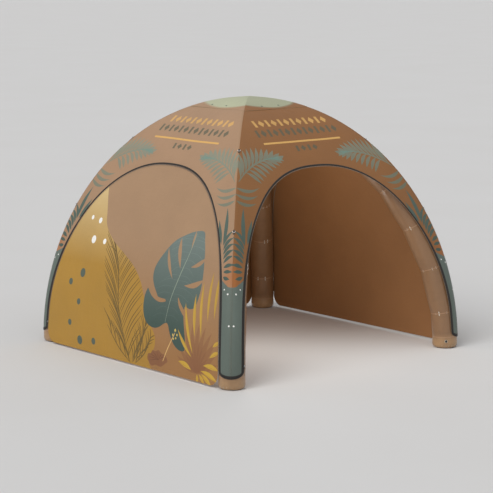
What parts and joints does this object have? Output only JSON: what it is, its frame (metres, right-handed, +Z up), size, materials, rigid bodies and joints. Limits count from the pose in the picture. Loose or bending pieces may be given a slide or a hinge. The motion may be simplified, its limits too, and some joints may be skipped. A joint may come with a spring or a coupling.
{
  "type": "inflatable dome tent",
  "caption": "Four-legged inflatable event tent: curved air beams under a printed dome canopy, three zip-in walls and one open arched side.",
  "frame": {"origin": "on the ground at the middle of the square footprint", "axes": "+Z up; -Y towards the open side, with walls on -X, +X and +Y"},
  "size_m": [3.97, 3.97, 3.2465],
  "materials": {
    "sleeve_cloth": "satin",
    "bladder_film": "gloss",
    "webbing": "matte",
    "canopy_cloth": "satin",
    "crown_cloth": "satin",
    "binding_tape": "matte",
    "wall_cloth": "satin",
    "zip_chain": "satin",
    "zip_metal": "satin",
    "dark_plastic": "matte",
    "valve_plastic": "satin",
    "spring_steel": "satin",
    "pad_rubber": "matte"
  },
  "bodies": {
    "tent": {"beam_sleeve_front_left": "sleeve_cloth", "beam_sleeve_front_right": "sleeve_cloth", "beam_sleeve_back_right": "sleeve_cloth", "beam_sleeve_back_left": "sleeve_cloth", "beam_bladder_front_left": "bladder_film", "beam_bladder_front_right": "bladder_film", "beam_bladder_back_right": "bladder_film", "beam_bladder_back_left": "bladder_film", "hub_sleeve": "sleeve_cloth", "hub_bladder": "bladder_film", "crossover_tubes": "bladder_film", "foot_pads": "pad_rubber", "roof_panel_front": "canopy_cloth", "roof_panel_right": "canopy_cloth", "roof_panel_back": "canopy_cloth", "roof_panel_left": "canopy_cloth", "crown_patch": "crown_cloth", "arch_binding_front": "binding_tape", "arch_binding_right": "binding_tape", "arch_binding_back": "binding_tape", "arch_binding_left": "binding_tape", "canopy_zip_tapes": "zip_chain", "guy_tabs": "webbing", "valve_body": "valve_plastic", "relief_body": "dark_plastic"},
    "zip_slider_front": {"zip_slider_front": "zip_metal"},
    "pull_tab_front": {"pull_tab_front": "dark_plastic"},
    "wall_right": {"wall_right": "wall_cloth", "wall_zip_right": "zip_chain", "wall_hem_right": "binding_tape"},
    "zip_slider_right": {"zip_slider_right": "zip_metal"},
    "pull_tab_right": {"pull_tab_right": "dark_plastic"},
    "wall_back": {"wall_back": "wall_cloth", "wall_zip_back": "zip_chain", "wall_hem_back": "binding_tape"},
    "zip_slider_back": {"zip_slider_back": "zip_metal"},
    "pull_tab_back": {"pull_tab_back": "dark_plastic"},
    "wall_left": {"wall_left": "wall_cloth", "wall_zip_left": "zip_chain", "wall_hem_left": "binding_tape"},
    "zip_slider_left": {"zip_slider_left": "zip_metal"},
    "pull_tab_left": {"pull_tab_left": "dark_plastic"},
    "guy_ring_low_front_left": {"guy_ring_low_front_left": "zip_metal"},
    "guy_ring_low_front_right": {"guy_ring_low_front_right": "zip_metal"},
    "guy_ring_low_back_right": {"guy_ring_low_back_right": "zip_metal"},
    "guy_ring_low_back_left": {"guy_ring_low_back_left": "zip_metal"},
    "guy_ring_high_front_left": {"guy_ring_high_front_left": "zip_metal"},
    "guy_ring_high_front_right": {"guy_ring_high_front_right": "zip_metal"},
    "guy_ring_high_back_right": {"guy_ring_high_back_right": "zip_metal"},
    "guy_ring_high_back_left": {"guy_ring_high_back_left": "zip_metal"},
    "valve_cap": {"valve_cap": "dark_plastic"},
    "valve_plunger": {"valve_plunger": "valve_plastic", "valve_spring": "spring_steel"},
    "relief_poppet": {"relief_poppet": "valve_plastic", "relief_spring": "spring_steel"}
  },
  "joints": [
    {"name": "zip_front", "type": "slide", "parent": "tent", "child": "zip_slider_front", "axis": [0.0627, 0.0684, 0.9957], "range_m": [0, 0.18]},
    {"name": "pull_tab_front_swing", "type": "hinge", "parent": "zip_slider_front", "child": "pull_tab_front", "pos_m": [-1.76117, -1.98202, 0.28062], "axis": [-0.998, 0, 0.0629], "range_deg": [0, 150]},
    {"name": "wall_right_off", "type": "slide", "parent": "tent", "child": "wall_right", "axis": [1, 0, 0], "range_m": [0, 0.9]},
    {"name": "zip_right", "type": "slide", "parent": "tent", "child": "zip_slider_right", "axis": [-0.0684, 0.0627, 0.9957], "range_m": [0, 0.18]},
    {"name": "pull_tab_right_swing", "type": "hinge", "parent": "zip_slider_right", "child": "pull_tab_right", "pos_m": [1.98202, -1.76117, 0.28062], "axis": [0, -0.998, 0.0629], "range_deg": [0, 150]},
    {"name": "wall_back_off", "type": "slide", "parent": "tent", "child": "wall_back", "axis": [0, 1, 0], "range_m": [0, 0.9]},
    {"name": "zip_back", "type": "slide", "parent": "tent", "child": "zip_slider_back", "axis": [-0.0627, -0.0684, 0.9957], "range_m": [0, 0.18]},
    {"name": "pull_tab_back_swing", "type": "hinge", "parent": "zip_slider_back", "child": "pull_tab_back", "pos_m": [1.76117, 1.98202, 0.28062], "axis": [0.998, 0, 0.0629], "range_deg": [0, 150]},
    {"name": "wall_left_off", "type": "slide", "parent": "tent", "child": "wall_left", "axis": [-1, 0, 0], "range_m": [0, 0.9]},
    {"name": "zip_left", "type": "slide", "parent": "tent", "child": "zip_slider_left", "axis": [0.0684, -0.0627, 0.9957], "range_m": [0, 0.18]},
    {"name": "pull_tab_left_swing", "type": "hinge", "parent": "zip_slider_left", "child": "pull_tab_left", "pos_m": [-1.98202, 1.76117, 0.28062], "axis": [0, 0.998, 0.0629], "range_deg": [0, 150]},
    {"name": "guy_ring_low_front_left_swing", "type": "hinge", "parent": "tent", "child": "guy_ring_low_front_left", "pos_m": [-1.60267, -1.60267, 1.82447], "axis": [-0.7071, 0.7071, 0], "range_deg": [0, 110]},
    {"name": "guy_ring_low_front_right_swing", "type": "hinge", "parent": "tent", "child": "guy_ring_low_front_right", "pos_m": [1.60267, -1.60267, 1.82447], "axis": [-0.7071, -0.7071, 0], "range_deg": [0, 110]},
    {"name": "guy_ring_low_back_right_swing", "type": "hinge", "parent": "tent", "child": "guy_ring_low_back_right", "pos_m": [1.60267, 1.60267, 1.82447], "axis": [0.7071, -0.7071, 0], "range_deg": [0, 110]},
    {"name": "guy_ring_low_back_left_swing", "type": "hinge", "parent": "tent", "child": "guy_ring_low_back_left", "pos_m": [-1.60267, 1.60267, 1.82447], "axis": [0.7071, 0.7071, 0], "range_deg": [0, 110]},
    {"name": "guy_ring_high_front_left_swing", "type": "hinge", "parent": "tent", "child": "guy_ring_high_front_left", "pos_m": [-1.07106, -1.07106, 2.70707], "axis": [-0.7071, 0.7071, 0], "range_deg": [0, 110]},
    {"name": "guy_ring_high_front_right_swing", "type": "hinge", "parent": "tent", "child": "guy_ring_high_front_right", "pos_m": [1.07106, -1.07106, 2.70707], "axis": [-0.7071, -0.7071, 0], "range_deg": [0, 110]},
    {"name": "guy_ring_high_back_right_swing", "type": "hinge", "parent": "tent", "child": "guy_ring_high_back_right", "pos_m": [1.07106, 1.07106, 2.70707], "axis": [0.7071, -0.7071, 0], "range_deg": [0, 110]},
    {"name": "guy_ring_high_back_left_swing", "type": "hinge", "parent": "tent", "child": "guy_ring_high_back_left", "pos_m": [-1.07106, 1.07106, 2.70707], "axis": [0.7071, 0.7071, 0], "range_deg": [0, 110]},
    {"name": "valve_cap_open", "type": "hinge", "parent": "tent", "child": "valve_cap", "pos_m": [1.70301, -1.93969, 0.12], "axis": [-0.766, 0.6428, 0], "range_deg": [0, 110]},
    {"name": "valve_plunger_press", "type": "slide", "parent": "tent", "child": "valve_plunger", "axis": [0.6428, 0.766, 0], "range_m": [0, 0.004], "stiffness_N_per_m": 600, "springref_m": -0.004, "deforming": ["valve_spring"]},
    {"name": "relief_poppet_press", "type": "slide", "parent": "tent", "child": "relief_poppet", "axis": [-0.9848, 0.1736, 0], "range_m": [0, 0.004], "stiffness_N_per_m": 600, "springref_m": -0.004, "deforming": ["relief_spring"]}
  ]
}
